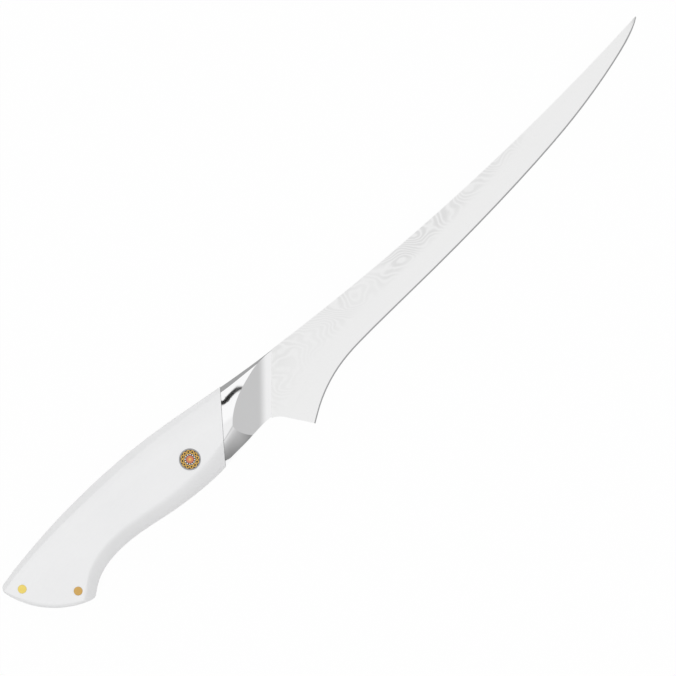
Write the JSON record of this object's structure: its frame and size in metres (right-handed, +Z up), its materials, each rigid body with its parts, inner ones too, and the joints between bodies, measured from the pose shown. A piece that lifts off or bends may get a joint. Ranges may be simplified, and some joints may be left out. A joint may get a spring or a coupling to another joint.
{
  "type": "fillet knife",
  "caption": "Slim upswept fillet knife with a laminated patterned blade, a polished welded bolster and a pale full-tang handle with a mosaic pin.",
  "frame": {"origin": "middle of the knife's footprint, on the surface that it lies on", "axes": "+X from the butt to the tip, +Y from the cutting edge towards the spine, +Z up out of the knife's right side"},
  "size_m": [0.3142, 0.0386, 0.0192],
  "materials": {
    "core_steel": "satin",
    "cladding_steel": "satin",
    "bolster_steel": "polished",
    "tang_steel": "satin",
    "bond_epoxy": "satin",
    "handle_laminate": "matte",
    "pin_steel": "satin",
    "pin_brass": "satin",
    "pin_copper": "satin",
    "pin_resin": "gloss",
    "butt_brass": "satin"
  },
  "bodies": {
    "root": {"blade_core": "core_steel", "blade_cladding_right": "cladding_steel", "blade_cladding_left": "cladding_steel", "bolster": "bolster_steel", "tang": "tang_steel", "epoxy_bond": "bond_epoxy", "handle_scale_right": "handle_laminate", "handle_scale_left": "handle_laminate", "mosaic_pin_tube": "pin_steel", "mosaic_pin_ring_tubes": "pin_brass", "mosaic_pin_ring_cores": "pin_resin", "mosaic_pin_small_rods": "pin_steel", "mosaic_pin_centre_tube": "pin_copper", "mosaic_pin_centre_rod": "pin_brass", "mosaic_pin_resin": "pin_resin", "butt_pin_spine": "butt_brass", "butt_pin_belly": "butt_brass"}
  },
  "joints": []
}
